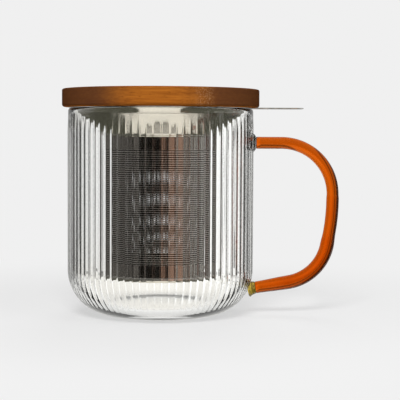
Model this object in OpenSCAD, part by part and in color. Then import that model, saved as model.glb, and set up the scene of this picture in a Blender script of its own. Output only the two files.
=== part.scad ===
// Lidded tea mug with a lift-out infuser: a ribbed glass body with a bent glass rod for a
// handle, a pressed steel infuser that hangs from the rim, and a turned wooden lid with a
// silicone seal. Millimetres, +Z up, +X towards the handle. The origin is on the axis of
// the mug, on the table that it stands on.

/* [Mug body] */
// Diameter of the glass body across the rib crests
mug_d = 85; // [80:0.5:110]
// Height of the glass body from the table to the rim
mug_h = 94; // [80:0.5:130]
// Glass thickness between a rib valley and the inside
wall_t = 2.5; // [1.6:0.1:4]
// Glass thickness under the tea
base_t = 4; // [2:0.5:8]
// Outside radius of the rounded bottom edge
bottom_r = 20.5; // [12:0.5:28]
// Inside radius of the rounded bottom edge
bottom_inner_r = 17; // [8:0.5:24]
// Radius on both edges of the fire-polished rim
rim_r = 0.9; // [0.3:0.1:1]

/* [Ribs] */
// Number of vertical ribs around the body
rib_count = 84; // [24:2:120]
// Depth of the valleys between the ribs
rib_depth = 0.35; // [0.2:0.05:1]
// Height of the smooth band of glass below the rim
rim_band_h = 3.5; // [2:0.5:10]
// Height over which the ribs fade out below the smooth band
rib_fade_h = 5.5; // [2:0.5:15]

/* [Handle] */
// Diameter of the glass rod
rod_d = 5.5; // [4:0.1:8]
// Diameter of the glass rod in the shallow bend in the back of the handle
rod_back_d = 5.8; // [4:0.1:9]
// Diameter of the glass rod in the lower bend, where the glass is gathered
rod_low_d = 6.4; // [4:0.1:9]
// Height of the rod's upper end below the rim
handle_drop = 15.4; // [10:0.1:25]
// Distance from the glass wall to the back of the handle, at the rod's centre
handle_reach = 36.5; // [30:0.5:50]
// Height of the lower outer corner of the handle, before it is rounded
handle_low_z = 17; // [14:0.1:30]
// How far the lower outer corner is drawn in from the back of the handle
handle_draw_in = 5; // [0:0.1:8]
// Height of the rod's lower end at the rib crests
handle_foot_z = 11.7; // [9:0.1:14]
// Bend radius of the upper outer corner
handle_top_r = 23.5; // [8:0.1:30]
// Bend radius of the shallow bend in the back of the handle
handle_back_r = 110; // [60:5:250]
// Bend radius of the lower outer corner
handle_low_r = 21.5; // [8:0.5:35]

/* [Handle welds] */
// Diameter of the upper gather of glass where it meets the wall
upper_weld_d = 8.6; // [7:0.1:12]
// Diameter of the upper gather of glass where the rod starts
upper_weld_tip_d = 7; // [6:0.1:9]
// Length of the upper gather outside the rib crests
upper_weld_l = 1.3; // [0.8:0.1:4]
// Diameter of the lower gather of glass where it meets the wall
lower_weld_d = 8.4; // [7:0.1:12]
// Diameter of the lower gather of glass where the rod starts
lower_weld_tip_d = 5.8; // [5.6:0.1:9]
// Length of the lower gather outside the rib crests
lower_weld_l = 1.3; // [0.8:0.1:4]

/* [Infuser collar] */
// Thickness of the pressed steel sheet
sheet_t = 0.5; // [0.3:0.05:0.8]
// Diameter of the flange that rests on the rim
flange_d = 84; // [80:0.5:88]
// Height of the upright lip under the flange
lip_h = 2.2; // [1.5:0.1:8]
// Height of the funnel between the lip and the basket
funnel_h = 9.8; // [6:0.1:20]
// Height of the short skirt that holds the top of the basket wall
skirt_h = 1.2; // [0.6:0.1:4]
// Distance from the mug's axis to the end of the lifting tab
tab_reach = 65; // [55:0.5:80]
// Width of the lifting tab
tab_w = 18; // [12:0.5:30]
// Radius of the lifting tab's two end corners
tab_r = 5; // [1:0.5:5.5]

/* [Infuser basket] */
// Outside diameter of the basket wall
basket_d = 53.4; // [40:0.2:64]
// Height of the basket above the glass floor
basket_clear_h = 12.8; // [6:0.1:30]
// Height of the turned-up edge of the basket's bottom cap
cap_h = 2; // [1:0.1:5]

/* [Lid] */
// Diameter of the wooden board
lid_d = 90; // [86:0.5:100]
// Thickness of the wooden board
lid_t = 8.2; // [5:0.1:15]
// Radius of the board's upper edge
lid_top_r = 0.8; // [0.3:0.1:2]
// Radius of the board's lower edge
lid_under_r = 1.2; // [0.3:0.1:2]
// Depth of the wooden plug below the board
plug_h = 5; // [4:0.1:6]
// Radial gap between the plug and the collar's lip, which the seal bridges
plug_gap = 3.8; // [3:0.1:5]

/* [Seal] */
// Height of the silicone ring
seal_h = 2; // [1.4:0.1:3]
// Depth of the plug's groove, in which the ring sits
groove_depth = 1.5; // [0.8:0.1:3]
// Thickness of each of the two sealing fins
fin_t = 0.6; // [0.3:0.1:0.8]
// How far the ring's body stands out of the plug
seal_proud = 0.6; // [0.3:0.1:1.2]
// Gap between the tips of the sealing fins and the collar's lip
fin_gap = 0.1; // [0.05:0.05:0.3]

/* [Fits] */
// Radial gap between the infuser's lip and the glass
lip_gap = 1.1; // [0.5:0.1:2]
// Gap between the seal and the plug's groove
groove_gap = 0.1; // [0.05:0.05:0.3]
// Gap between the basket wall and the turned-up edge of its cap
cap_gap = 0.05; // [0:0.05:0.3]

/* [Hidden] */
$fn = 96;

// Glass body
mug_r = mug_d / 2;
valley_r = mug_r - rib_depth;
inner_r = valley_r - wall_t;
// The smooth form that trims the ribs stands outside their crests by this much, so that
// the rounded bottom cuts them at a clear angle, and inside their valleys at the rim.
trim_out = 0.5;
trim_in = 0.1;
trim_r = mug_r + trim_out;
rim_outer_r = valley_r - trim_in;
rim_edge_r = min(rim_r, 0.45 * (rim_outer_r - inner_r));
band_z = mug_h - rim_band_h;
fade_z = band_z - rib_fade_h;
// Width of a rib's crest, and of a valley, as a share of the pitch between ribs
crest_share = 0.18;
// How far a cutting shape runs past what it cuts
overrun = 1;

// Handle: the corners of the rod's centre line, as [x, z], and how far from each corner its
// bend may start, as a share of the straight run beside it.
end_share = 0.85;
outer_share = 0.7;
back_share = 0.28;
// Height of the shallow bend, as a share of the way from the lower corner to the upper one
back_height_share = 0.455;
// The straight runs are a hair thicker than the bends and lap over their ends.
run_lap = 0.3;
run_step = 0.03;
handle_top_z = mug_h - handle_drop;
corner_wall_top = [mug_r + upper_weld_l, handle_top_z];
corner_top = [mug_r + handle_reach, handle_top_z];
corner_low = [mug_r + handle_reach - handle_draw_in, handle_low_z];
corner_back = [
    mug_r + handle_reach,
    handle_low_z + back_height_share * (handle_top_z - handle_low_z)
];
foot_slope = (handle_low_z - handle_foot_z) / (corner_low[0] - mug_r);
corner_wall_low = [
    mug_r + lower_weld_l,
    handle_foot_z + foot_slope * lower_weld_l
];

// How far a handle's gather is carried on into the wall before the wall cuts it
gather_sink = 2;

// Infuser, from the rim down
flange_z = mug_h;
flange_top_z = flange_z + sheet_t;
lip_outer_r = inner_r - lip_gap;
lip_inner_r = lip_outer_r - sheet_t;
lip_z = flange_z - lip_h;
basket_r = basket_d / 2;
skirt_z = lip_z - funnel_h;
skirt_end_z = skirt_z - skirt_h;
cap_z = base_t + basket_clear_h;
cap_outer_r = basket_r + cap_gap + sheet_t;

// Lid
lid_z = flange_top_z;
plug_r = lip_inner_r - plug_gap;
groove_r = plug_r - groove_depth;
seal_inner_r = groove_r + groove_gap;
seal_outer_r = lip_inner_r - fin_gap;
seal_body_r = plug_r + seal_proud;
seal_z = lid_z - groove_gap - seal_h;

// Radius of the glass at height z, on the rounded bottom edge.
function wall_r_at(z) = trim_r - bottom_r
    + sqrt(pow(bottom_r, 2) - pow(max(bottom_r - z, 0), 2));
function unit(v) = v / norm(v);
// Angle of the direction from a to b, counted from +X towards +Z.
function heading(a, b) = atan2(b[1] - a[1], b[0] - a[0]);
function turn_at(a, b, c) = heading(a, b) - heading(b, c);
// Distance from corner b at which its bend starts, limited by the runs on both sides.
function bend_run(a, b, c, r, share_before, share_after) = min(
    r * tan(turn_at(a, b, c) / 2),
    share_before * norm(b - a),
    share_after * norm(c - b)
);

// A disc with rounded edges, for use inside rotate_extrude: the half profile of a board.
module rounded_half(r, h, low_r, top_r) {
    polygon([[0, 0], [r - low_r, 0], [r - low_r, low_r], [r, low_r], [r, h - top_r],
        [r - top_r, h - top_r], [r - top_r, h], [0, h]]);
    translate([r - low_r, low_r])
        circle(low_r);
    translate([r - top_r, h - top_r])
        circle(top_r);
}

// A quarter disc in the lower right quadrant.
module lower_quarter(r) {
    intersection() {
        circle(r);
        translate([0, -r])
            square(r);
    }
}

// Half profile of the glass's smooth outer form.
module outer_form() {
    square([trim_r - bottom_r, bottom_r]);
    translate([trim_r - bottom_r, bottom_r])
        lower_quarter(bottom_r);
    polygon([[0, bottom_r], [trim_r, bottom_r], [trim_r, fade_z], [rim_outer_r, band_z],
        [rim_outer_r, mug_h - rim_edge_r], [rim_outer_r - rim_edge_r, mug_h - rim_edge_r],
        [rim_outer_r - rim_edge_r, mug_h], [0, mug_h]]);
    translate([rim_outer_r - rim_edge_r, mug_h - rim_edge_r])
        circle(rim_edge_r);
}

// Half profile of the space inside the glass, flared where it meets the rounded rim.
module inner_form() {
    translate([0, base_t])
        square([inner_r - bottom_inner_r, bottom_inner_r]);
    translate([inner_r - bottom_inner_r, base_t + bottom_inner_r])
        lower_quarter(bottom_inner_r);
    translate([0, base_t + bottom_inner_r])
        square([inner_r, mug_h - base_t - bottom_inner_r + overrun]);
    difference() {
        translate([inner_r - overrun, mug_h - rim_edge_r])
            square([overrun + rim_edge_r, rim_edge_r + overrun]);
        translate([inner_r + rim_edge_r, mug_h - rim_edge_r])
            circle(rim_edge_r);
    }
}

// Outline of ribs first to last in plan, or of a wedge where they don't go all the way
// round. Each rib has a narrow crest and a narrow valley.
module rib_outline(first, last) {
    rib_turn = 360 / rib_count;
    corners = [
        [0, mug_r],
        [crest_share, mug_r],
        [0.5, valley_r],
        [0.5 + crest_share, valley_r]
    ];
    edge = [
        for (i = [first : last], corner = corners)
            let (a = (i + corner[0]) * rib_turn)
            corner[1] * [cos(a), sin(a)]
    ];
    polygon(last - first + 1 < rib_count ? concat([[0, 0]], edge) : edge);
}

// The glass body before it is hollowed, or the wedge of it that holds ribs first to last.
module mug_outside(first = 0, last = rib_count - 1) {
    intersection() {
        linear_extrude(mug_h + overrun)
            rib_outline(first, last);
        rotate_extrude()
            outer_form();
    }
}

module mug_body() {
    color("azure", 0.35)
        difference() {
            mug_outside();
            rotate_extrude()
                inner_form();
        }
}

// A straight run of rod from a to b, both [x, z], of diameter d1 at a and d2 at b.
module rod_run(a, b, d1, d2) {
    translate([a[0], 0, a[1]])
        rotate([0, 90 - heading(a, b), 0])
            cylinder(h = norm(b - a), d1 = d1 + 2 * run_step, d2 = d2 + 2 * run_step);
}

// A bend of rod at corner b, of diameter d, turning clockwise from the run a-b to the run b-c.
module rod_bend(a, b, c, run, d) {
    turn = turn_at(a, b, c);
    r = run / tan(turn / 2);
    start = b - run * unit(b - a);
    translate([start[0], 0, start[1]])
        rotate([0, -heading(a, b), 0])
            translate([0, 0, -r])
                rotate([90, 0, 0])
                    rotate([0, 0, 90 - turn])
                        rotate_extrude(angle = turn)
                            translate([r, 0])
                                circle(d = d);
}

module handle() {
    pts = [corner_wall_top, corner_top, corner_back, corner_low, corner_wall_low];
    run_top = bend_run(pts[0], pts[1], pts[2], handle_top_r, end_share, outer_share);
    run_back = bend_run(pts[1], pts[2], pts[3], handle_back_r, back_share, back_share);
    run_low = bend_run(pts[2], pts[3], pts[4], handle_low_r, outer_share, end_share);
    runs = [0, run_top, run_back, run_low, 0];
    thick = [rod_d, rod_d, rod_back_d, rod_low_d, rod_d];
    color("orangered", 0.7)
        union() {
            for (i = [0 : 3]) {
                along = unit(pts[i + 1] - pts[i]);
                skip_start = i == 0 ? 0 : runs[i] - run_lap;
                skip_end = i == 3 ? 0 : runs[i + 1] - run_lap;
                rod_run(pts[i] + skip_start * along, pts[i + 1] - skip_end * along,
                    thick[i], thick[i + 1]);
            }
            for (i = [1 : 3])
                rod_bend(pts[i - 1], pts[i], pts[i + 1], runs[i], thick[i]);
        }
}

// A cone of glass from the rod's end at tip back to the wall, which is run away from it.
// The cone is made longer than that, and the wall cuts its inner end.
module gather(tip, toward, run, wall_d, tip_d) {
    widening = (wall_d - tip_d) / run;
    length = run + gather_sink;
    ribs = 1 + ceil(rib_count * asin((wall_d + gather_sink) / mug_d) / 180);
    difference() {
        translate([tip[0], 0, tip[1]])
            rotate([0, 90 - toward, 0])
                cylinder(h = length, d1 = tip_d, d2 = tip_d + widening * length);
        mug_outside(-ribs, ribs);
    }
}

module handle_upper_weld() {
    color("lightcyan", 0.5)
        gather(corner_wall_top, 180, upper_weld_l + rib_depth, upper_weld_d, upper_weld_tip_d);
}

module handle_lower_weld() {
    color("darkkhaki", 0.7)
        gather(corner_wall_low, heading(corner_low, corner_wall_low),
            lower_weld_l + mug_r - wall_r_at(handle_foot_z), lower_weld_d, lower_weld_tip_d);
}

// Plan of the flange with its lifting tab.
module flange_plan() {
    difference() {
        union() {
            circle(d = flange_d);
            translate([0, -tab_w / 2])
                square([tab_reach - tab_r, tab_w]);
            for (side = [-1, 1])
                translate([tab_reach - tab_r, side * (tab_w / 2 - tab_r)])
                    circle(tab_r);
            translate([0, tab_r - tab_w / 2])
                square([tab_reach, tab_w - 2 * tab_r]);
        }
        circle(lip_inner_r);
    }
}

module infuser_collar() {
    color("silver")
        union() {
            translate([0, 0, flange_z])
                linear_extrude(sheet_t)
                    flange_plan();
            rotate_extrude()
                polygon([
                    [lip_inner_r, flange_top_z], [lip_inner_r, lip_z],
                    [basket_r - sheet_t, skirt_z], [basket_r - sheet_t, skirt_end_z],
                    [basket_r + sheet_t, skirt_end_z], [basket_r + sheet_t, skirt_z],
                    [lip_outer_r, lip_z - sheet_t], [lip_outer_r, flange_top_z]
                ]);
        }
}

module infuser_wall() {
    color("gray")
        translate([0, 0, cap_z + sheet_t])
            difference() {
                wall_h = skirt_end_z - cap_z - sheet_t;
                cylinder(h = wall_h, r = basket_r);
                translate([0, 0, -overrun])
                    cylinder(h = wall_h + 2 * overrun, r = basket_r - sheet_t);
            }
}

module infuser_cap() {
    color("silver")
        translate([0, 0, cap_z])
            difference() {
                cylinder(h = cap_h, r = cap_outer_r);
                translate([0, 0, sheet_t])
                    cylinder(h = cap_h, r = cap_outer_r - sheet_t);
            }
}

module seal_ring() {
    color("whitesmoke")
        translate([0, 0, seal_z])
            rotate_extrude() {
                translate([seal_inner_r, 0])
                    square([seal_body_r - seal_inner_r, seal_h]);
                for (z = [0, seal_h - fin_t])
                    translate([seal_inner_r, z])
                        square([seal_outer_r - seal_inner_r, fin_t]);
            }
}

module lid_board() {
    color("peru")
        translate([0, 0, lid_z])
            rotate_extrude()
                rounded_half(lid_d / 2, lid_t, lid_under_r, lid_top_r);
}

module lid_plug() {
    color("sienna")
        difference() {
            translate([0, 0, lid_z - plug_h])
                cylinder(h = plug_h, r = plug_r);
            rotate_extrude()
                translate([groove_r, seal_z - groove_gap])
                    square([groove_depth + overrun, seal_h + 2 * groove_gap]);
        }
}

mug_body();
handle();
handle_upper_weld();
handle_lower_weld();
infuser_collar();
infuser_wall();
infuser_cap();
seal_ring();
lid_board();
lid_plug();
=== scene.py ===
"""Ribbed glass tea mug with a bent glass rod handle, a lift-out steel infuser and a wooden lid.

Each piece is an operator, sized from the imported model's own boxes, in metres and in its frame:
+Z up, +X towards the handle, and the origin on the mug's axis at the table.
"""

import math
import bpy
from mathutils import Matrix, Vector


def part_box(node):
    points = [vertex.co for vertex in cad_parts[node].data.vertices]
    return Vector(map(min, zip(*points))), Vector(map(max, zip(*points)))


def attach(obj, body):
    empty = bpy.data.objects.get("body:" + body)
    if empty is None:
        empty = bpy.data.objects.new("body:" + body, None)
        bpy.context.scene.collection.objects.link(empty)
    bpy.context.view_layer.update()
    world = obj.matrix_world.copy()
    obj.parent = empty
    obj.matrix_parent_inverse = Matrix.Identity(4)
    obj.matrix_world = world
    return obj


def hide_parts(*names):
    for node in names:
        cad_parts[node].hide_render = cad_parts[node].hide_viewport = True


bl_info = {
    "name": "Lidded tea mug with infuser",
    "version": (1, 0, 0),
    "blender": (4, 5, 0),
    "location": "View3D > Sidebar > Tea Mug",
    "description": "Models a ribbed glass tea mug, its steel infuser and its wooden lid",
    "category": "Add Mesh",
}

import bmesh
import bpy
from bpy.props import FloatProperty, FloatVectorProperty, IntProperty, PointerProperty
from mathutils import Matrix, Vector

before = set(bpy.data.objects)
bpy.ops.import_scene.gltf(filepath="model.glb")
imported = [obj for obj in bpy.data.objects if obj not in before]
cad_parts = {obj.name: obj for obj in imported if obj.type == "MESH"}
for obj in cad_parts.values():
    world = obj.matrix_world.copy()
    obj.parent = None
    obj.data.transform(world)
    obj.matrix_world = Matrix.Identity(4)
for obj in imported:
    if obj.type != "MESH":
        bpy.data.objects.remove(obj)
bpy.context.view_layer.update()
MM = 0.001
MERGE = 1e-7
ON_AXIS = 1e-6
GLASS_IOR = 1.47


def node_size(name):
    """Largest radius from the mug's axis, bottom and top of a CAD node."""
    low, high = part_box(name)
    return high.y, low.z, high.z


MUG_R, _, MUG_H = node_size("mug_body")
FLANGE_R, SKIRT_END_Z, FLANGE_TOP_Z = node_size("infuser_collar")
WALL_R, WALL_Z, WALL_TOP_Z = node_size("infuser_wall")
CAP_R, CAP_Z, CAP_TOP_Z = node_size("infuser_cap")
SEAL_R, SEAL_Z, SEAL_TOP_Z = node_size("seal_ring")
LID_R, LID_Z, LID_TOP_Z = node_size("lid_board")
PLUG_R, PLUG_Z, _ = node_size("lid_plug")
TAB_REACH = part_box("infuser_collar")[1].x
HANDLE_TOP_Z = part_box("handle")[1].z
UPPER_WELD_LOW, UPPER_WELD_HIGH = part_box("handle_upper_weld")
LOWER_WELD_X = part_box("handle_lower_weld")[0].x


# What stands round the mug in the studio, by the turn from behind it over its left side (0.25),
# its front (0.5) and its right side (0.75) to behind it again: dark flags and a few cards.
STUDIO_CARDS = [
    (0.0, (0.2, 0.2, 0.19)), (0.2, (0.17, 0.16, 0.15)), (0.328, (0.1, 0.095, 0.09)),
    (0.338, (0.6, 0.58, 0.55)), (0.348, (0.1, 0.095, 0.09)), (0.384, (0.07, 0.062, 0.056)),
    (0.392, (0.45, 0.42, 0.4)), (0.4, (0.012, 0.01, 0.008)), (0.53, (0.008, 0.007, 0.006)),
    (0.552, (0.5, 0.3, 0.22)), (0.603, (0.6, 0.38, 0.28)), (0.612, (0.03, 0.02, 0.016)),
    (0.624, (0.6, 0.56, 0.52)), (0.632, (0.08, 0.05, 0.04)), (0.638, (0.08, 0.05, 0.04)),
    (0.646, (0.7, 0.68, 0.64)), (0.656, (0.06, 0.055, 0.05)), (0.664, (0.06, 0.055, 0.05)),
    (0.672, (1.2, 1.17, 1.1)), (0.682, (0.16, 0.15, 0.14)), (0.71, (0.18, 0.17, 0.16)),
    (0.724, (1.4, 1.4, 1.35)), (0.738, (0.22, 0.21, 0.2)), (0.81, (0.25, 0.24, 0.22)),
    (0.822, (0.8, 0.8, 0.77)), (0.834, (0.25, 0.24, 0.22)), (1.0, (0.2, 0.2, 0.19)),
]
# The rest of the studio. The backdrop is what shows straight through the glass, and the soft
# light is what falls on matte surfaces.
CEILING = (0.45, 0.45, 0.43)
GREY_WALL = (0.5, 0.5, 0.49)
DARK_TABLE, LIT_TABLE = (0.09, 0.09, 0.065), (1.1, 1.05, 0.93)
DARK_ROOM, PALE_ROOM = (0.015, 0.014, 0.012), (1.0, 1.0, 0.98)
BACKDROP, LOW_BACKDROP = (1.0, 1.0, 0.985), (1.0, 0.975, 0.915)
BRIGHT_BACKDROP = (1.4, 1.4, 1.38)
DARK_FLAG = (0.03, 0.02, 0.015)
SOFT_LIGHT = (0.2, 0.2, 0.2)


# ---------------------------------------------------------------- properties


def length(name, description, default):
    return FloatProperty(
        name=name, description=description, default=default, unit="LENGTH", precision=5
    )


def colour(name, description, default):
    return FloatVectorProperty(
        name=name, description=description, default=default, size=3, subtype="COLOR", min=0, max=1
    )


class TeaMugGlass(bpy.types.PropertyGroup):
    """Sizes and colours of the glass body, its handle and the two welds"""

    wall: length("Wall", "Glass thickness between a rib crest and the inside", 2.85 * MM)
    base: length("Base", "Glass thickness under the tea", 4 * MM)
    bottom_r: length("Bottom radius", "Outside radius of the rounded bottom edge", 20.5 * MM)
    bottom_inner_r: length("Inner bottom radius", "Inside radius of the bottom edge", 17 * MM)
    foot_dish: length("Foot dish", "Depth of the shallow hollow under the foot", 0.5 * MM)
    rib_count: IntProperty(name="Ribs", description="Number of ribs", default=84, min=24, max=120)
    rib_depth: length("Rib depth", "Depth of the valleys between the ribs", 0.22 * MM)
    rib_sharpness: FloatProperty(
        name="Rib sharpness", description="Narrowness of the valleys", default=4
    )
    rib_pinch: FloatProperty(
        name="Rib pinch", description="How far the mesh is drawn together in the valleys",
        default=0.45,
    )
    rim_inset: length("Rim inset", "How far the rim stands inside the rib crests", 0.25 * MM)
    rim_band: length("Rim band", "Height of the smooth band below the rim", 2.4 * MM)
    rib_fade: length("Rib fade", "Height over which the ribs fade out below the band", 9 * MM)
    rib_end: length("Rib end", "Height at which the ribs end on the rounded bottom", 3.2 * MM)
    colour: colour("Glass", "Colour of the clear glass", (0.995, 0.998, 0.996))
    rod_d: length("Rod", "Diameter of the glass rod", 5.5 * MM)
    rod_back_d: length("Rod in the back", "Its diameter in the shallow bend", 5.8 * MM)
    rod_low_d: length("Rod in the low bend", "Its diameter where it is gathered", 6.4 * MM)
    handle_reach: length("Reach", "From the body to the middle of the handle's back", 36.5 * MM)
    handle_low_z: length("Low corner", "Height of the handle's lower outer corner", 17 * MM)
    handle_draw_in: length("Draw in", "How far that corner is drawn in from the back", 5 * MM)
    handle_foot_z: length("Foot height", "Height of the rod's lower end at the crests", 11.7 * MM)
    handle_top_r: length("Top bend", "Bend radius of the upper outer corner", 23.5 * MM)
    handle_back_r: length("Back bend", "Bend radius in the back of the handle", 110 * MM)
    handle_low_r: length("Low bend", "Bend radius of the lower outer corner", 21.5 * MM)
    amber: colour("Amber", "Colour of the handle's glass", (0.95, 0.55, 0.2))
    weld_colour: colour("Lower weld", "Colour of the lower weld's glass", (0.42, 0.3, 0.04))


class TeaMugInfuser(bpy.types.PropertyGroup):
    """Sizes and colours of the steel infuser"""

    sheet: length("Sheet", "Thickness of the steel sheet", 0.5 * MM)
    lip_r: length("Lip radius", "Outside radius of the upright lip", 38.55 * MM)
    lip_h: length("Lip height", "Height of the lip below the flange", 2.2 * MM)
    funnel_h: length("Funnel height", "Height of the funnel below the lip", 9.8 * MM)
    bend_r: length("Bends", "Outside radius of the pressed bends", 0.9 * MM)
    tab_w: length("Tab width", "Width of the lifting tab", 18 * MM)
    tab_r: length("Tab corners", "Radius of the tab's corners", 5 * MM)
    holes_round: IntProperty(name="Holes round", description="Holes in each row", default=176)
    hole_rows: IntProperty(name="Hole rows", description="Rows of holes", default=54)
    holes_low: length("Holes start", "Height of the lowest row", 24.4 * MM)
    holes_high: length("Holes end", "Height of the highest row", 75.4 * MM)
    open_share: FloatProperty(name="Open", description="Hole width over its pitch", default=0.35)
    steel: colour("Steel", "Colour of the polished steel", (0.78, 0.76, 0.72))
    dull_steel: colour("Perforated steel", "Colour of the perforated sheet", (0.46, 0.44, 0.41))


class TeaMugLid(bpy.types.PropertyGroup):
    """Sizes and colours of the wooden lid and its seal"""

    top_edge: length("Top edge", "Radius of the board's upper edge", 0.8 * MM)
    under_edge: length("Under edge", "Radius of the board's lower edge", 1.2 * MM)
    groove: length("Groove", "Depth of the plug's groove", 1.5 * MM)
    groove_gap: length("Groove gap", "Gap between the groove and the seal", 0.1 * MM)
    fin: length("Fin", "Thickness of the seal's fins", 0.6 * MM)
    seal_proud: length("Seal proud", "How far the seal's body stands out", 0.6 * MM)
    light_wood: colour("Light grain", "Colour of the wood's light grain", (0.4, 0.13, 0.016))
    dark_wood: colour("Dark grain", "Colour of the wood's dark grain", (0.22, 0.062, 0.008))
    silicone: colour("Silicone", "Colour of the seal", (0.8, 0.8, 0.76))


class TeaMugStage(bpy.types.PropertyGroup):
    """Camera, floor and light"""

    distance: length("Distance", "Distance of the camera from the mug's axis", 0.56)
    camera_x: length("Camera X", "The camera's place along X", 18.1 * MM)
    camera_z: length("Camera Z", "Height of the camera", 82.8 * MM)
    aim_z: length("Aim Z", "Height that the camera looks at", 52.2 * MM)
    pixels_per_m: FloatProperty(
        name="Scale", description="Pixels per metre at the axis", default=2179
    )
    roll: FloatProperty(
        name="Roll", description="Roll of the camera", default=0.005, unit="ROTATION"
    )
    floor_r: length("Floor", "Radius of the floor", 0.32)
    floor_gap: length("Floor gap", "How far the floor lies under the foot", 0.1 * MM)
    pale: colour("Background", "Colour of the background and floor", (0.871, 0.871, 0.871))


# ------------------------------------------------------------- mesh helpers


def add_piece(name, bm, body, replaces, material, smooth=True):
    """Makes the bmesh an object at the origin, in place of the CAD nodes in replaces."""
    bmesh.ops.remove_doubles(bm, verts=bm.verts, dist=MERGE)
    bmesh.ops.recalc_face_normals(bm, faces=bm.faces)
    for face in bm.faces:
        face.smooth = smooth
    mesh = bpy.data.meshes.new(name)
    bm.to_mesh(mesh)
    bm.free()
    mesh.materials.append(material)
    piece = bpy.data.objects.new(name, mesh)
    bpy.context.scene.collection.objects.link(piece)
    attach(piece, body)
    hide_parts(*replaces)


def line_of(bm, points):
    """Vertices at (radius, height) in the XZ plane, joined by edges."""
    verts = [bm.verts.new((r, 0, z)) for r, z in points]
    edges = [bm.edges.new(pair) for pair in zip(verts, verts[1:])]
    return verts, edges


def turn_round(bm, points, steps, closed=False):
    """Spins a profile of (radius, height) points fully round the mug's axis."""
    verts, edges = line_of(bm, points)
    if closed:
        edges.append(bm.edges.new((verts[-1], verts[0])))
    bmesh.ops.spin(
        bm, geom=verts + edges, cent=(0, 0, 0), axis=(0, 0, 1), angle=math.tau, steps=steps,
        use_merge=True,
    )
    bmesh.ops.remove_doubles(bm, verts=bm.verts, dist=MERGE)


def arc(centre, radius, start, end, steps):
    """Points on an arc about centre, from start to end in degrees."""
    angles = [math.radians(start + (end - start) * i / steps) for i in range(steps + 1)]
    return [(centre[0] + radius * math.cos(a), centre[1] + radius * math.sin(a)) for a in angles]


def divided(a, b, parts):
    """Points from a towards b, without b."""
    return [tuple(a[k] + (b[k] - a[k]) * i / parts for k in (0, 1)) for i in range(parts)]


def rounded(points, radius, steps=3):
    """A closed outline of points with each corner cut by a bend of up to that radius."""
    out = []
    for i, here in enumerate(points):
        before, after = Vector(points[i - 1]), Vector(points[(i + 1) % len(points)])
        corner = Vector(here)
        if here[0] == 0:
            out.append(here)
            continue
        into, away = (before - corner), (after - corner)
        half = into.angle(away) / 2
        run = min(radius / math.tan(half), 0.45 * into.length, 0.45 * away.length)
        bend = run * math.tan(half)
        start, end = corner + into.normalized() * run, corner + away.normalized() * run
        inward = (into.normalized() + away.normalized()).normalized()
        middle = corner + inward * bend / math.sin(half)
        first = math.atan2(start.y - middle.y, start.x - middle.x)
        last = math.atan2(end.y - middle.y, end.x - middle.x)
        turn = math.remainder(last - first, math.tau)
        for step in range(steps + 1):
            angle = first + turn * step / steps
            out.append((middle.x + bend * math.cos(angle), middle.y + bend * math.sin(angle)))
    return out


# ----------------------------------------------------------- shader helpers


class Value:
    """A shader socket that takes part in arithmetic."""

    def __init__(self, bench, socket):
        self.bench, self.socket = bench, socket

    def _math(self, operation, *values):
        sockets = dict(enumerate(values))
        return self.bench.add("ShaderNodeMath", {"operation": operation}, sockets)[0]

    def __add__(self, other):
        return self._math("ADD", self, other)

    def __sub__(self, other):
        return self._math("SUBTRACT", self, other)

    def __rsub__(self, other):
        return self._math("SUBTRACT", other, self)

    def __mul__(self, other):
        return self._math("MULTIPLY", self, other)

    def __truediv__(self, other):
        return self._math("DIVIDE", self, other)

    def __pow__(self, other):
        return self._math("POWER", self, other)

    __radd__, __rmul__ = __add__, __mul__

    def over(self, threshold):
        return self._math("GREATER_THAN", self, threshold)

    def largest(self, other):
        return self._math("MAXIMUM", self, other)

    def sine(self):
        return self._math("SINE", self)

    def step(self, low, high):
        """0 below low, 1 above high, and smooth between them."""
        return self.bench.add(
            "ShaderNodeMapRange",
            {"interpolation_type": "SMOOTHSTEP"},
            {"Value": self, "From Min": low, "From Max": high},
        )[0]


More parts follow.
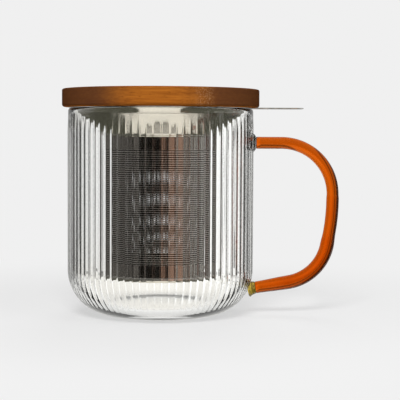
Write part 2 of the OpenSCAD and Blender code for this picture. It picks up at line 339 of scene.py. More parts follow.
class Bench:
    """Builds one node tree. add returns a node's outputs as Values."""

    def __init__(self, tree):
        self.tree = tree
        tree.nodes.clear()

    def node(self, kind, settings=None, sockets=None):
        node = self.tree.nodes.new(kind)
        for key, value in (settings or {}).items():
            if key == "stops":
                self._stops(node.color_ramp, value)
            else:
                setattr(node, key, value)
        for key, value in (sockets or {}).items():
            if isinstance(value, Value):
                self.tree.links.new(value.socket, node.inputs[key])
            else:
                node.inputs[key].default_value = value
        return node

    def add(self, kind, settings=None, sockets=None):
        node = self.node(kind, settings, sockets)
        return [Value(self, out) for out in node.outputs if out.enabled]

    @staticmethod
    def _stops(ramp, stops):
        for i, (place, shade) in enumerate(stops):
            stop = ramp.elements[i] if i < 2 else ramp.elements.new(place)
            stop.position, stop.color = place, (*shade, 1)

    def place(self):
        """Object coordinates, as a vector and as x, y and z."""
        vector = Value(self, self.node("ShaderNodeTexCoord").outputs["Object"])
        return vector, self.add("ShaderNodeSeparateXYZ", None, {0: vector})

    def stretched(self, vector, scale):
        return self.add("ShaderNodeMapping", None, {"Vector": vector, "Scale": scale})[0]

    def noise(self, vector, scale, detail, roughness=0.5):
        sockets = {"Vector": vector, "Scale": scale, "Detail": detail, "Roughness": roughness}
        return self.add("ShaderNodeTexNoise", None, sockets)[0]

    def mix(self, factor, a, b):
        """Colour a where factor is 0, and b where it is 1."""
        node = self.node("ShaderNodeMix", {"data_type": "RGBA"})
        for socket, value in zip((node.inputs[0], node.inputs[6], node.inputs[7]), (factor, a, b)):
            if isinstance(value, Value):
                self.tree.links.new(value.socket, socket)
            else:
                socket.default_value = value if socket is node.inputs[0] else (*value, 1)
        return Value(self, node.outputs[2])

    def bump(self, height, strength, distance):
        sockets = {"Height": height, "Strength": strength, "Distance": distance}
        return self.add("ShaderNodeBump", None, sockets)[0]

    def shader(self, kind, sockets=None):
        return Value(self, self.node(kind, None, sockets).outputs[0])

    def surface(self, sockets, depth=None):
        """The finish, and for coloured glass the colour taken in depth, as (colour, density)."""
        ends = {"Surface": self.shader("ShaderNodeBsdfPrincipled", sockets)}
        if depth:
            taken = {"Color": (*depth[0], 1), "Density": depth[1]}
            ends["Volume"] = self.shader("ShaderNodeVolumeAbsorption", taken)
        self.node("ShaderNodeOutputMaterial", None, ends)


def finish_bench(name):
    material = bpy.data.materials.get(name) or bpy.data.materials.new(name)
    material.use_nodes = True
    return material, Bench(material.node_tree)


def clear_glass(name, tint):
    """Clear glass with the faint waviness of a moulded or drawn surface."""
    material, bench = finish_bench(name)
    vector, _ = bench.place()
    swell = bench.noise(bench.stretched(vector, (60, 60, 25)), 1.0, 2)
    bench.surface(
        {
            "Base Color": (*tint, 1),
            "Roughness": 0.0,
            "IOR": GLASS_IOR,
            "Transmission Weight": 1.0,
            "Normal": bench.bump(swell, 0.008, 1 * MM),
        }
    )
    return material


def polished_steel(name, tint, roughness, streak, wall=None):
    """Bright steel with faint streaks and clouds. streak is their share in the roughness.

    wall is for the perforated sheet: the radius above which it is bright, the lowest and highest
    row of holes and their pitch. Its inside gets painted shade, and the rows get painted shade on
    the holes and a painted highlight on the webs between them.
    """
    material, bench = finish_bench(name)
    vector, (x, y, z) = bench.place()
    rolled = (900, 900, 14) if streak else (60, 60, 60)
    streaks = bench.noise(bench.stretched(vector, rolled), 1.0, 3)
    cloud = bench.noise(vector, 90, 2)
    uneven = (streaks * 0.7 + cloud * 0.3).step(0.3, 0.7)
    shade = bench.mix(uneven, [c * 0.86 for c in tint], tint)
    rough = roughness + streaks * streak
    if wall:
        bright_r, low, high, pitch = wall
        # Painted shade on the rows of holes and a painted highlight on the webs between them, at
        # the rows' pitch; the webs are also rougher.
        row = ((z - low) * (math.tau / pitch) + math.pi / 2).sine() * 0.5 + 0.5
        punched = z.step(low, low + 0.1 * MM) * (1 - z.step(high - 0.1 * MM, high))
        shade = bench.mix(punched * (1 - row), shade, [c * 0.3 for c in tint])
        shade = bench.mix(punched * row * 0.5, shade, (0.9, 0.88, 0.84))
        rough = rough + punched * row * 0.17
        # Painted shade: the inner face of the sheet, inside bright_r, is darkened to a fifth of the
        # steel's colour.
        outside = ((x * x + y * y) ** 0.5).step(bright_r - 0.2 * MM, bright_r)
        shade = bench.mix(outside, [c * 0.2 for c in tint], shade)
    bench.surface(
        {
            "Base Color": shade,
            "Metallic": 1.0,
            "Roughness": rough,
            "Normal": bench.bump(streaks, 0.06 if streak else 0.02, 0.1 * MM),
        }
    )
    return material


def hardwood(name, light, dark, seed=0.0):
    """Oiled hardwood: long grain along X, finer pores, and broad darker bands."""
    material, bench = finish_bench(name)
    vector, (x, y, _) = bench.place()
    moved = {"Vector": vector, "Location": (seed, seed, seed)}
    shifted = bench.add("ShaderNodeMapping", None, moved)[0]
    bands = bench.noise(bench.stretched(shifted, (9, 70, 260)), 1.0, 4, 0.6)
    grain = bench.noise(bench.stretched(shifted, (40, 900, 1500)), 1.0, 3, 0.6)
    pores = bench.noise(bench.stretched(shifted, (160, 2600, 2600)), 1.0, 2, 0.6)
    shade = bench.mix((bands * 0.55 + grain * 0.45).step(0.33, 0.68), dark, light)
    # Painted shade on the turned edge, growing towards its ends along X, where the light falls off
    # towards the lid's sides.
    across = x * x + y * y
    edge = (across ** 0.5).step(LID_R - 1 * MM, LID_R - 0.2 * MM)
    painted_side_shade = (x * x / across).step(-0.04, 0.36) * edge
    shade = bench.mix(painted_side_shade * 0.86, shade, [c * 0.3 + 0.012 for c in dark])
    # A painted highlight: a small patch of pale flecks, in the pattern of open pores, on the edge
    # right of the front.
    front = edge * (1 - y.step(-0.01, 0.0))
    patch = front * x.step(15 * MM, 18 * MM) * (1 - x.step(22 * MM, 25 * MM))
    glint_flecks = bench.noise(vector, 1900, 1).step(0.5, 0.62)
    shade = bench.mix(patch * glint_flecks * 0.16, shade, (0.7, 0.42, 0.2))
    pore_mask = pores.step(0.6, 0.72)
    shade = bench.mix(pore_mask * 0.55, shade, [c * 0.4 for c in dark])
    bench.surface(
        {
            "Base Color": shade,
            "Roughness": 0.42 + grain * 0.14,
            "Specular IOR Level": 0.0,
            "Normal": bench.bump(grain * 0.6 - pore_mask * 0.5, 0.25, 0.15 * MM),
        }
    )
    return material


def silicone_finish(name, tint):
    material, bench = finish_bench(name)
    vector, _ = bench.place()
    dust = bench.noise(vector, 1400, 2)
    bench.surface(
        {
            "Base Color": bench.mix(dust, [c * 0.93 for c in tint], tint),
            "Roughness": 0.5 + dust * 0.1,
            "Normal": bench.bump(dust, 0.05, 0.05 * MM),
        }
    )
    return material


# ----------------------------------------------------------------- operators


class TEAMUG_OT_stage(bpy.types.Operator):
    """Make the camera, the floor, the lamps and the surroundings"""

    bl_idname = "teamug.stage"
    bl_label = "Stage"

    def execute(self, context):
        stage = context.scene.tea_mug_stage
        self.camera(context, stage)
        self.floor(context, stage)
        self.surroundings(context, stage)
        self.lamps(context)
        context.scene.view_settings.view_transform = "Standard"
        return {"FINISHED"}

    def camera(self, context, stage):
        data = bpy.data.cameras.new("camera")
        sensor, frame_pixels = 36.0, 400
        data.sensor_width = sensor
        data.lens = sensor * stage.pixels_per_m * stage.distance / frame_pixels
        data.clip_start, data.clip_end = 0.01, 20
        camera = bpy.data.objects.new("camera", data)
        camera.location = (stage.camera_x, -stage.distance, stage.camera_z)
        aim = Vector((stage.camera_x, 0, stage.aim_z)) - camera.location
        camera.rotation_euler = aim.to_track_quat("-Z", "Y").to_euler()
        camera.rotation_euler.rotate_axis("Z", stage.roll)
        context.scene.collection.objects.link(camera)
        context.scene.camera = camera

    def floor(self, context, stage):
        bm = bmesh.new()
        bmesh.ops.create_circle(bm, cap_ends=True, segments=96, radius=stage.floor_r)
        mesh = bpy.data.meshes.new("floor")
        bm.to_mesh(mesh)
        bm.free()
        floor = bpy.data.objects.new("floor", mesh)
        floor.location.z = -stage.floor_gap
        context.scene.collection.objects.link(floor)
        material, bench = finish_bench("pale_floor")
        ray = bench.node("ShaderNodeLightPath")
        seen = Value(bench, ray.outputs["Is Camera Ray"])
        through = Value(bench, ray.outputs["Is Transmission Ray"])
        mirrored = Value(bench, ray.outputs["Is Glossy Ray"])
        _, (x, y, _) = bench.place()
        shadowed = (*(c * 0.88 for c in stage.pale), 1)
        matte = bench.shader("ShaderNodeBsdfDiffuse", {"Color": shadowed})
        plain = bench.shader("ShaderNodeEmission", {"Color": (*stage.pale, 1)})
        clear = bench.shader("ShaderNodeBsdfTransparent")
        # The camera sees the plain background colour, with some of the shadow near the mug. Rays
        # in glass and metal pass the floor and meet the studio's own table.
        far = ((x * x + y * y) ** 0.5).step(0.07, 0.25)
        even = seen * (0.65 + far * 0.35)
        base = bench.shader("ShaderNodeMixShader", {0: even, 1: matte, 2: plain})
        ends = {0: through.largest(mirrored), 1: base, 2: clear}
        shader = bench.shader("ShaderNodeMixShader", ends)
        bench.node("ShaderNodeOutputMaterial", None, {"Surface": shader})
        mesh.materials.append(material)

    def surroundings(self, context, stage):
        """A pale backdrop to the camera, and a studio with dark flags to glass and metal."""
        world = bpy.data.worlds.new("studio")
        world.use_nodes = True
        context.scene.world = world
        bench = Bench(world.node_tree)
        direction = Value(bench, bench.node("ShaderNodeTexCoord").outputs["Generated"])
        toward = bench.add("ShaderNodeSeparateXYZ", None, {0: direction})
        ray = bench.node("ShaderNodeLightPath")
        seen = Value(bench, ray.outputs["Is Camera Ray"])
        matte = Value(bench, ray.outputs["Is Diffuse Ray"])
        mirrored = Value(bench, ray.outputs["Glossy Depth"]).over(0.5)
        # A ray enters and leaves one wall of glass at depths 1 and 2: near is such a ray, and
        # outer is that or one that met no glass.
        entered = Value(bench, ray.outputs["Transmission Depth"])
        outer = 1 - entered.over(2.5)
        near = entered.over(0.5) * outer
        room = self.room(bench, toward, outer, near)
        seen_through = bench.mix(mirrored, self.backdrop(bench, toward, near), room)
        lit = bench.mix(matte, seen_through, SOFT_LIGHT)
        shade = {"Color": bench.mix(seen, lit, tuple(stage.pale)), "Strength": 1.0}
        shader = bench.shader("ShaderNodeBackground", shade)
        bench.node("ShaderNodeOutputWorld", None, {"Surface": shader})

    def room(self, bench, toward, outer, near):
        """What glass and metal mirror: cards, a ceiling, a grey wall behind and a dark table.

        The table is lit in front of the mug and a little behind it. For the near glass the room
        behind the mug is dark, and pale only straight behind and low down.
        """
        x, y, z = toward
        sideways, down = x.largest(0 - x), 0 - z
        low = down.step(0.2, 0.3)
        turn = bench.add("ShaderNodeMath", {"operation": "ARCTAN2"}, {0: x, 1: 0 - y})[0]
        place = {0: turn / math.tau + 0.5}
        room = bench.add("ShaderNodeValToRGB", {"stops": STUDIO_CARDS}, place)[0]
        room = bench.mix(z.step(0.1, 0.35), room, CEILING)
        room = bench.mix(y.step(0.74, 0.82), room, GREY_WALL)
        front_table = (1 - y.step(0.42, 0.48)) * (1 - sideways.step(0.4, 0.47))
        back_table = y.step(0.84, 0.92) * (1 - sideways.step(0.1, 0.35)) * 0.6
        table = bench.mix(front_table + back_table, DARK_TABLE, LIT_TABLE)
        room = bench.mix(low, room, table)
        room = bench.mix(near * y.step(-0.1, 0.1) * (1 - low), room, DARK_ROOM)
        pale_wall = near * y.step(0.88, 0.95) * 0.9
        pale_floor = outer * low * y.step(0.0, 0.2) * 0.85
        return bench.mix(pale_wall.largest(pale_floor), room, PALE_ROOM)

    def backdrop(self, bench, toward, near):
        """What shows through the glass. Rays that it bends to the left or up meet dark flags."""
        x, y, z = toward
        backdrop = bench.mix((0 - z).step(0.06, 0.25), BACKDROP, LOW_BACKDROP)
        behind_right = x.step(0.04, 0.16) * y.step(0.86, 0.95)
        backdrop = bench.mix(behind_right, backdrop, BRIGHT_BACKDROP)
        bent = (z * 0.5 - x) * near
        flags = bent.step(0.0, 0.06) * 0.7 - bent.step(0.1, 0.16) * 0.5
        flags = flags + bent.step(0.2, 0.28) * 0.5 + bent.step(0.34, 0.42) * 0.27
        return bench.mix(flags, backdrop, DARK_FLAG)

    def lamps(self, context):
        target = Vector((0, 0, 0.06))
        for name, place, size, watts in (
            ("key_lamp", (-0.05, -0.6, 0.6), 0.3, 6.0),
            ("fill_lamp", (0.5, -0.35, 0.55), 0.35, 1.0),
            ("back_lamp", (0.1, 0.6, 0.7), 0.4, 2.0),
        ):
            data = bpy.data.lights.new(name, "AREA")
            data.energy, data.size = watts, size
            lamp = bpy.data.objects.new(name, data)
            lamp.location = place
            # Its square would show as a hard spot in the steel and the glass.
            lamp.visible_glossy = False
            lamp.visible_transmission = False
            lamp.rotation_euler = (target - lamp.location).to_track_quat("-Z", "Y").to_euler()
            context.scene.collection.objects.link(lamp)


class TEAMUG_OT_body(bpy.types.Operator):
    """Make the ribbed glass body"""

    bl_idname = "teamug.body"
    bl_label = "Glass body"
    RIB_STEPS = 14

    def execute(self, context):
        glass = context.scene.tea_mug_glass
        inner = MUG_R - glass.wall
        rim = MUG_R - glass.rim_inset
        band_z = MUG_H - glass.rim_band
        fade_z = band_z - glass.rib_fade
        bead = (rim - inner) / 2
        foot = MUG_R - glass.bottom_r
        dish_r, flat_r = foot * 0.55, foot * 0.8
        outside = divided((0, glass.foot_dish), (dish_r, glass.foot_dish), 3)
        outside += divided((dish_r, glass.foot_dish), (flat_r, 0), 3)
        outside += divided((flat_r, 0), (foot, 0), 2)
        outside += arc((foot, glass.bottom_r), glass.bottom_r, -90, 0, 22)
        outside += divided((MUG_R, glass.bottom_r), (MUG_R, fade_z), 6)[1:]
        outside += divided((MUG_R, fade_z), (MUG_R, band_z), 8)
        inside = arc((rim - bead, MUG_H - bead), bead, 0, 180, 8)
        inside += divided((inner, MUG_H - bead), (inner, glass.base + glass.bottom_inner_r), 3)[1:]
        low = (inner - glass.bottom_inner_r, glass.base + glass.bottom_inner_r)
        inside += arc(low, glass.bottom_inner_r, 0, -90, 10)
        inside += divided((low[0], glass.base), (0, glass.base), 4)[1:] + [(0, glass.base)]
        bm = bmesh.new()
        layer = bm.verts.layers.float.new("ribbed")
        verts, edges = line_of(bm, outside + inside)
        for vert in verts[: len(outside)]:
            vert[layer] = 1.0
        pitch = math.tau / glass.rib_count
        about = {"cent": (0, 0, 0), "axis": (0, 0, 1)}
        bmesh.ops.spin(bm, geom=verts + edges, angle=pitch, steps=self.RIB_STEPS, **about)
        for vert in bm.verts:
            if vert[layer] > 0.5:
                self.carve(vert, glass, rim, band_z, fade_z)
        others = glass.rib_count - 1
        bmesh.ops.spin(
            bm, geom=bm.verts[:] + bm.edges[:] + bm.faces[:], angle=others * pitch, steps=others,
            use_duplicate=True, **about,
        )
        add_piece(
            "glass_body", bm, "mug", ["mug_body"],
            clear_glass("ribbed_glass", glass.colour),
        )
        return {"FINISHED"}

    def carve(self, vert, glass, rim, band_z, fade_z):
        """Presses the valleys between the ribs into a point of the outside."""
        r = math.hypot(vert.co.x, vert.co.y)
        z = vert.co.z
        if r < ON_AXIS:
            return
        turn = math.atan2(vert.co.y, vert.co.x)
        turn += glass.rib_pinch * math.sin(glass.rib_count * turn) / glass.rib_count
        vert.co.x, vert.co.y = r * math.cos(turn), r * math.sin(turn)
        wave = (0.5 - 0.5 * math.cos(glass.rib_count * turn)) ** glass.rib_sharpness
        fade = 1.0
        if z > fade_z:
            fade = max(0.0, 1 - (z - fade_z) / (band_z - fade_z))
        if z < glass.bottom_r:
            fade = min(1.0, max(0.0, (z - glass.rib_end) / (glass.bottom_r * 0.5)))
        smooth = fade * fade * (3 - 2 * fade)
        depth = glass.rib_depth * wave * smooth
        if z > fade_z:
            depth += (MUG_R - rim) * (1 - smooth)
        out = Vector((vert.co.x / r, vert.co.y / r, 0))
        if z < glass.bottom_r:
            foot = MUG_R - glass.bottom_r
            centre = out * foot + Vector((0, 0, glass.bottom_r))
            out = (vert.co - centre).normalized() if r > foot else Vector((0, 0, -1))
        vert.co -= out * depth


class TEAMUG_OT_handle(bpy.types.Operator):
    """Make the bent glass rod and the two welds that join it to the body"""

    bl_idname = "teamug.handle"
    bl_label = "Handle and welds"
    # How much of a straight length a bend may take, and where the back bends, as a share of
    # the height between the corners.
    END_SHARE, OUTER_SHARE, BACK_SHARE, BACK_HEIGHT = 0.85, 0.7, 0.28, 0.455
    SIDES = 32
    TOP_GAP = 0.03 * MM  # under the top of the solid rod
    START = 1.3 * MM  # from the rib crests to the rod's ends
    END_BEVEL = 0.35 * MM
    LOWER_WELD_R = 4.3 * MM

    def execute(self, context):
        glass = context.scene.tea_mug_glass
        self.rod(glass)
        self.upper_weld(glass)
        self.lower_weld(glass)
        return {"FINISHED"}

    def corners(self, glass):
        """The corners of the rod's centre line, in the XZ plane."""
        back_x = MUG_R + glass.handle_reach
        top_z = HANDLE_TOP_Z - glass.rod_d / 2 - self.TOP_GAP
        low_x, low_z = back_x - glass.handle_draw_in, glass.handle_low_z
        start_x = MUG_R + self.START
        slope = (low_z - glass.handle_foot_z) / (low_x - MUG_R)
        return [
            Vector((start_x, top_z)),
            Vector((back_x, top_z)),
            Vector((back_x, low_z + self.BACK_HEIGHT * (top_z - low_z))),
            Vector((low_x, low_z)),
            Vector((start_x, glass.handle_foot_z + slope * self.START)),
        ]

    def rod(self, glass):
        points = self.corners(glass)
        # Each bend's radius, its shares of the lengths before and after it, and its thickness.
        bends = (
            (glass.handle_top_r, self.END_SHARE, self.OUTER_SHARE, glass.rod_d),
            (glass.handle_back_r, self.BACK_SHARE, self.BACK_SHARE, glass.rod_back_d),
            (glass.handle_low_r, self.OUTER_SHARE, self.END_SHARE, glass.rod_low_d),
        )
        bm = bmesh.new()
        facing = Matrix.Rotation(math.radians(90), 4, "Y")
        place = Matrix.Translation((points[0].x, 0, points[0].y))
        made = bmesh.ops.create_circle(
            bm, cap_ends=True, segments=self.SIDES, radius=glass.rod_d / 2, matrix=place @ facing
        )
        ring = list({e for v in made["verts"] for e in v.link_edges})
        here = points[0]
        thick = glass.rod_d
        for i, (r, share_before, share_after, wide) in enumerate(bends, 1):
            before, corner, after = points[i - 1], points[i], points[i + 1]
            along, away = (corner - before).normalized(), (after - corner).normalized()
            turn = along.angle(away)
            run = min(
                r * math.tan(turn / 2),
                share_before * (corner - before).length,
                share_after * (after - corner).length,
            )
            start = corner - along * run
            ring = self.straight(bm, ring, here, start, wide / thick, 5)
            thick = wide
            pivot = start + Vector((along.y, -along.x)) * (run / math.tan(turn / 2))
            ring = self.bend(bm, ring, pivot, turn)
            here = corner + away * run
        ring = self.straight(bm, ring, here, points[-1], glass.rod_d / thick, 8)
        bmesh.ops.contextual_create(bm, geom=ring)
        ends = [f for f in bm.faces if len(f.verts) == self.SIDES]
        for face in ends:
            bmesh.ops.bevel(
                bm, geom=list(face.edges), offset=self.END_BEVEL, affect="EDGES", segments=3,
                profile=0.5, material=-1,
            )
        amber = self.amber(glass)
        add_piece("handle_rod", bm, "mug", ["handle"], amber)

    def straight(self, bm, ring, start, end, grow, parts):
        """Extrudes a ring of edges from start to end in the XZ plane, thickening it by grow."""
        step = (end - start) / parts
        size = 1.0
        for i in range(1, parts + 1):
            made = bmesh.ops.extrude_edge_only(bm, edges=ring)["geom"]
            verts = [g for g in made if isinstance(g, bmesh.types.BMVert)]
            ring = [g for g in made if isinstance(g, bmesh.types.BMEdge)]
            bmesh.ops.translate(bm, verts=verts, vec=(step.x, 0, step.y))
            ease = i / parts
            wanted = 1 + (grow - 1) * ease * ease * (3 - 2 * ease)
            centre = start + step * i
            to_centre = Matrix.Translation((-centre.x, 0, -centre.y))
            bmesh.ops.scale(bm, verts=verts, vec=[wanted / size] * 3, space=to_centre)
            size = wanted
        return ring

    def bend(self, bm, ring, pivot, turn):
        """Spins a ring of edges clockwise about a pivot in the XZ plane."""
        verts = list({v for e in ring for v in e.verts})
        made = bmesh.ops.spin(
            bm, geom=verts + ring, cent=(pivot.x, 0, pivot.y), axis=(0, 1, 0), angle=turn,
            steps=max(4, round(math.degrees(turn) / 3)),
        )
        return [g for g in made["geom_last"] if isinstance(g, bmesh.types.BMEdge)]

    def amber(self, glass):
        """Amber glass, deeper red in slow streaks along the rod."""
        material, bench = finish_bench("amber_glass")
        vector, _ = bench.place()
        streak = bench.noise(vector, 120, 2)
        deep = (glass.amber[0] * 0.94, glass.amber[1] * 0.8, glass.amber[2] * 0.6)
        bench.surface(
            {
                "Base Color": bench.mix(streak.step(0.35, 0.7) * 0.6, tuple(glass.amber), deep),
                "Roughness": 0.0,
                "IOR": GLASS_IOR,
                "Specular Tint": (1.0, 0.4, 0.1, 1),
                "Transmission Weight": 1.0,
                "Normal": bench.bump(bench.noise(vector, 90, 1), 0.05, 1 * MM),
            },
            depth=((0.88, 0.62, 0.1), 950),
        )
        return material

    def turned_gather(self, name, outline, tip, toward, slot, node, material):
        """Turns an outline of (distance from the tip, radius) and lays it from tip to the wall."""
        bm = bmesh.new()
        verts, edges = line_of(bm, [(r, d) for d, r in outline])
        bmesh.ops.spin(
            bm, geom=verts + edges, cent=(0, 0, 0), axis=(0, 0, 1), angle=math.tau,
            steps=self.SIDES, use_merge=True,
        )
        lay = Matrix.Rotation(math.pi / 2 - toward, 4, "Y")
        bmesh.ops.transform(bm, matrix=Matrix.Translation((tip.x, 0, tip.y)) @ lay, verts=bm.verts)
        add_piece(name, bm, "mug", [node], material)

    def upper_weld(self, glass):
        tip = self.corners(glass)[0]
        reach = tip.x - (MUG_R - glass.rib_depth)
        wide = (UPPER_WELD_HIGH.z - UPPER_WELD_LOW.z) / 2
        outline = [(0, 0), (0, 0.55 * wide)] + [
            (reach * t, wide * (0.62 + 0.38 * math.sin(math.pi / 2 * t)))
            for t in (0.1, 0.3, 0.5, 0.7, 0.9)
        ]
        outline += [(reach * 1.1, wide * 0.97), (reach * 1.25, wide * 0.7), (reach * 1.3, 0)]
        self.turned_gather(
            "handle_weld_upper", outline, tip, math.pi, "weld_clear_glass", "handle_upper_weld",
            clear_glass("weld_clear_glass", (0.98, 0.98, 0.96)),
        )

    def lower_weld(self, glass):
        points = self.corners(glass)
        tip, before = points[-1], points[-2]
        toward = math.atan2(tip.y - before.y, tip.x - before.x)
        reach = tip.x - LOWER_WELD_X
        wide = self.LOWER_WELD_R
        thin = glass.rod_d / 2 + 0.1 * MM
        outline = [(0, 0), (0, thin * 0.9), (0.06 * reach, thin)] + [
            (reach * t, thin + (wide - thin) * t * t / 0.6) for t in (0.2, 0.35, 0.5, 0.65)
        ]
        outline += [(reach * 0.8, wide * 0.8), (reach * 0.85, 0)]
        self.turned_gather(
            "handle_weld_lower", outline, tip, toward, "weld_yellow_glass", "handle_lower_weld",
            clear_glass("weld_yellow_glass", glass.weld_colour),
        )


class TEAMUG_OT_collar(bpy.types.Operator):
    """Make the pressed steel collar with its flange and lifting tab"""

    bl_idname = "teamug.collar"
    bl_label = "Infuser collar"

    def execute(self, context):
        steel = context.scene.tea_mug_infuser
        sheet = steel.sheet
        lip_in = steel.lip_r - sheet
        lip_z = MUG_H - steel.lip_h
        skirt_z = lip_z - steel.funnel_h
        bm = bmesh.new()
        outline = [
            (FLANGE_R, FLANGE_TOP_Z), (lip_in, FLANGE_TOP_Z), (lip_in, lip_z),
            (WALL_R - sheet, skirt_z), (WALL_R - sheet, SKIRT_END_Z),
            (WALL_R + sheet, SKIRT_END_Z), (WALL_R + sheet, skirt_z),
            (steel.lip_r, lip_z - sheet), (steel.lip_r, MUG_H), (FLANGE_R, MUG_H),
        ]
        turn_round(bm, rounded(outline, steel.bend_r), steps=360, closed=True)
        self.tab(bm, steel)
        add_piece(
            "infuser_collar_pressing", bm, "infuser", ["infuser_collar"],
            polished_steel("pressed_steel", steel.steel, roughness=0.07, streak=0.0),
        )
        return {"FINISHED"}

    def tab(self, bm, steel):
        """Draws the flange's rim out into the tab: two rounded corners and a flat sheet."""
        half = steel.tab_w / 2
        rim = [
            f for f in bm.faces
            if all(math.hypot(v.co.x, v.co.y) > FLANGE_R - steel.sheet for v in f.verts)
            and f.calc_center_median().x > 0
            and abs(f.calc_center_median().y) < half
        ]
        grown = bmesh.ops.extrude_face_region(bm, geom=rim)["geom"]
        bmesh.ops.delete(bm, geom=rim, context="FACES")
        for vert in [g for g in grown if isinstance(g, bmesh.types.BMVert)]:
            y = min(abs(vert.co.y), half)
            corner = max(0.0, y - (half - steel.tab_r))
            inset = FLANGE_R - math.hypot(vert.co.x, vert.co.y)
            end = TAB_REACH - steel.tab_r + math.sqrt(max(0.0, steel.tab_r**2 - corner**2))
            vert.co.x = end - inset


class TEAMUG_OT_basket(bpy.types.Operator):
    """Make the perforated basket wall and its bottom cap"""

    bl_idname = "teamug.basket"
    bl_label = "Infuser basket"

    def execute(self, context):
        steel = context.scene.tea_mug_infuser
        self.wall(steel)
        self.cap(steel)
        return {"FINISHED"}

    def wall(self, steel):
        """A sheet in a grid of open and closed strips, with a hole where two open ones cross."""
        rows, sheet = steel.hole_rows, steel.sheet
        pitch = (steel.holes_high - steel.holes_low) / rows
        web = pitch * (1 - steel.open_share)
        heights = [WALL_Z, WALL_Z + 0.3 * (steel.holes_low - WALL_Z)]
        for i in range(rows):
            low = steel.holes_low + i * pitch + web / 2
            heights += [low, low + pitch - web]
        heights += [steel.holes_high + 0.6 * (WALL_TOP_Z - steel.holes_high), WALL_TOP_Z]
        bm = bmesh.new()
        turn_round(bm, [(WALL_R, z) for z in heights], 2 * steel.holes_round)
        step = math.tau / (2 * steel.holes_round)
        shift = step * (steel.open_share - 0.5)
        for vert in bm.verts:
            angle = math.atan2(vert.co.y, vert.co.x)
            way = 1 if round(angle / step) % 2 else -1
            turned = angle + way * shift
            vert.co.x, vert.co.y = WALL_R * math.cos(turned), WALL_R * math.sin(turned)
        holes = []
        for face in bm.faces:
            middle = face.calc_center_median()
            row = (middle.z - steel.holes_low) / pitch
            across = int(math.floor(math.atan2(middle.y, middle.x) / step)) % 2
            if 0 < row < rows and abs(row % 1 - 0.5) < steel.open_share / 2 and across:
                holes.append(face)
        bmesh.ops.delete(bm, geom=holes, context="FACES")
        bmesh.ops.recalc_face_normals(bm, faces=bm.faces)
        bmesh.ops.solidify(bm, geom=bm.faces[:], thickness=sheet)
        # Both faces of the sheet go back onto their circles.
        radii = [v.co.xy.length for v in bm.verts]
        middle_r = (min(radii) + max(radii)) / 2
        for vert, radius in zip(bm.verts, radii):
            vert.co.xy = vert.co.xy.normalized() * (WALL_R if radius > middle_r else WALL_R - sheet)
        finish = polished_steel(
            "perforated_steel", steel.dull_steel, roughness=0.08, streak=0.06,
            wall=(WALL_R - 0.2 * sheet, steel.holes_low, steel.holes_high, pitch),
        )
        add_piece(
            "infuser_wall_sheet", bm, "infuser", ["infuser_wall"], finish,
            smooth=False,
        )

    def cap(self, steel):
        sheet = steel.sheet
        inner_r, ring_r, dish_r = CAP_R - sheet, CAP_R * 0.9, CAP_R * 0.86
        dish_z = CAP_Z + 0.4 * sheet
        outline = [
            (0, dish_z), (dish_r, dish_z), (ring_r, CAP_Z), (CAP_R, CAP_Z), (CAP_R, CAP_TOP_Z),
            (inner_r, CAP_TOP_Z), (inner_r, CAP_Z + sheet), (ring_r, CAP_Z + sheet),
            (dish_r, dish_z + sheet), (0, dish_z + sheet),
        ]
        bm = bmesh.new()
        turn_round(bm, rounded(outline, steel.bend_r * 0.6), steps=240)
        add_piece(
            "infuser_cap_pressing", bm, "infuser", ["infuser_cap"],
            polished_steel("cap_steel", steel.steel, roughness=0.12, streak=0.08),
        )


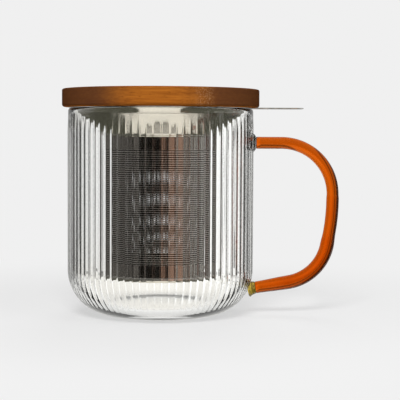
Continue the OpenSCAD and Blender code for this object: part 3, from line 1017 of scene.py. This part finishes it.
class TEAMUG_OT_lid(bpy.types.Operator):
    """Make the wooden board, its plug and the silicone seal"""

    bl_idname = "teamug.lid"
    bl_label = "Lid and seal"

    def execute(self, context):
        lid = context.scene.tea_mug_lid
        top, under = lid.top_edge, lid.under_edge
        outline = [(0, LID_Z)] + divided((LID_R * 0.5, LID_Z), (LID_R - under, LID_Z), 2)
        outline += arc((LID_R - under, LID_Z + under), under, -90, 0, 6)
        outline += divided((LID_R, LID_Z + under), (LID_R, LID_TOP_Z - top), 3)[1:]
        outline += arc((LID_R - top, LID_TOP_Z - top), top, 0, 90, 6)
        outline += [(LID_R * 0.5, LID_TOP_Z), (0, LID_TOP_Z)]
        bm = bmesh.new()
        turn_round(bm, outline, steps=240)
        add_piece(
            "lid_board_turned", bm, "lid", ["lid_board"],
            hardwood("lid_hardwood", tuple(lid.light_wood), tuple(lid.dark_wood)),
        )
        self.plug(lid)
        self.seal(lid)
        return {"FINISHED"}

    def plug(self, lid):
        groove_r = PLUG_R - lid.groove
        groove_z = SEAL_Z - lid.groove_gap
        outline = [
            (0, PLUG_Z), (PLUG_R, PLUG_Z), (PLUG_R, groove_z), (groove_r, groove_z),
            (groove_r, LID_Z), (0, LID_Z),
        ]
        bm = bmesh.new()
        turn_round(bm, rounded(outline, 0.4 * MM), steps=200)
        add_piece(
            "lid_plug_turned", bm, "lid", ["lid_plug"],
            hardwood("plug_hardwood", tuple(lid.light_wood), tuple(lid.dark_wood), seed=0.37),
        )

    def seal(self, lid):
        inner_r = PLUG_R - lid.groove + lid.groove_gap
        body_r = PLUG_R + lid.seal_proud
        low_fin_z, high_fin_z = SEAL_Z + lid.fin, SEAL_TOP_Z - lid.fin
        outline = [
            (inner_r, SEAL_Z), (SEAL_R, SEAL_Z), (SEAL_R, low_fin_z), (body_r, low_fin_z),
            (body_r, high_fin_z), (SEAL_R, high_fin_z), (SEAL_R, SEAL_TOP_Z), (inner_r, SEAL_TOP_Z),
        ]
        bm = bmesh.new()
        turn_round(bm, rounded(outline, 0.25 * MM), steps=200, closed=True)
        add_piece(
            "seal_ring_silicone", bm, "seal", ["seal_ring"],
            silicone_finish("silicone", tuple(lid.silicone)),
        )


class TEAMUG_PT_panel(bpy.types.Panel):
    """The mug's settings and the operators that make its pieces"""

    bl_label = "Tea Mug"
    bl_idname = "TEAMUG_PT_panel"
    bl_space_type = "VIEW_3D"
    bl_region_type = "UI"
    bl_category = "Tea Mug"

    def draw(self, context):
        for name, operators in PANEL_ROWS:
            box = self.layout.box()
            for prop in getattr(context.scene, name).bl_rna.properties:
                if prop.identifier not in ("rna_type", "name"):
                    box.prop(getattr(context.scene, name), prop.identifier)
            for operator in operators:
                box.operator(operator)


PANEL_ROWS = (
    ("tea_mug_stage", ("teamug.stage",)),
    ("tea_mug_glass", ("teamug.body", "teamug.handle")),
    ("tea_mug_infuser", ("teamug.collar", "teamug.basket")),
    ("tea_mug_lid", ("teamug.lid",)),
)
GROUPS = {
    "tea_mug_stage": TeaMugStage,
    "tea_mug_glass": TeaMugGlass,
    "tea_mug_infuser": TeaMugInfuser,
    "tea_mug_lid": TeaMugLid,
}
OPERATORS = (
    TEAMUG_OT_stage, TEAMUG_OT_body, TEAMUG_OT_handle, TEAMUG_OT_collar, TEAMUG_OT_basket,
    TEAMUG_OT_lid,
)


def register():
    for cls in (*GROUPS.values(), *OPERATORS, TEAMUG_PT_panel):
        bpy.utils.register_class(cls)
    for name, group in GROUPS.items():
        setattr(bpy.types.Scene, name, PointerProperty(type=group))


def unregister():
    for name in GROUPS:
        delattr(bpy.types.Scene, name)
    for cls in reversed((*GROUPS.values(), *OPERATORS, TEAMUG_PT_panel)):
        bpy.utils.unregister_class(cls)


def main():
    register()
    bpy.ops.teamug.stage()
    bpy.ops.teamug.body()
    bpy.ops.teamug.handle()
    bpy.ops.teamug.collar()
    bpy.ops.teamug.basket()
    bpy.ops.teamug.lid()


if __name__ == "__main__":
    main()
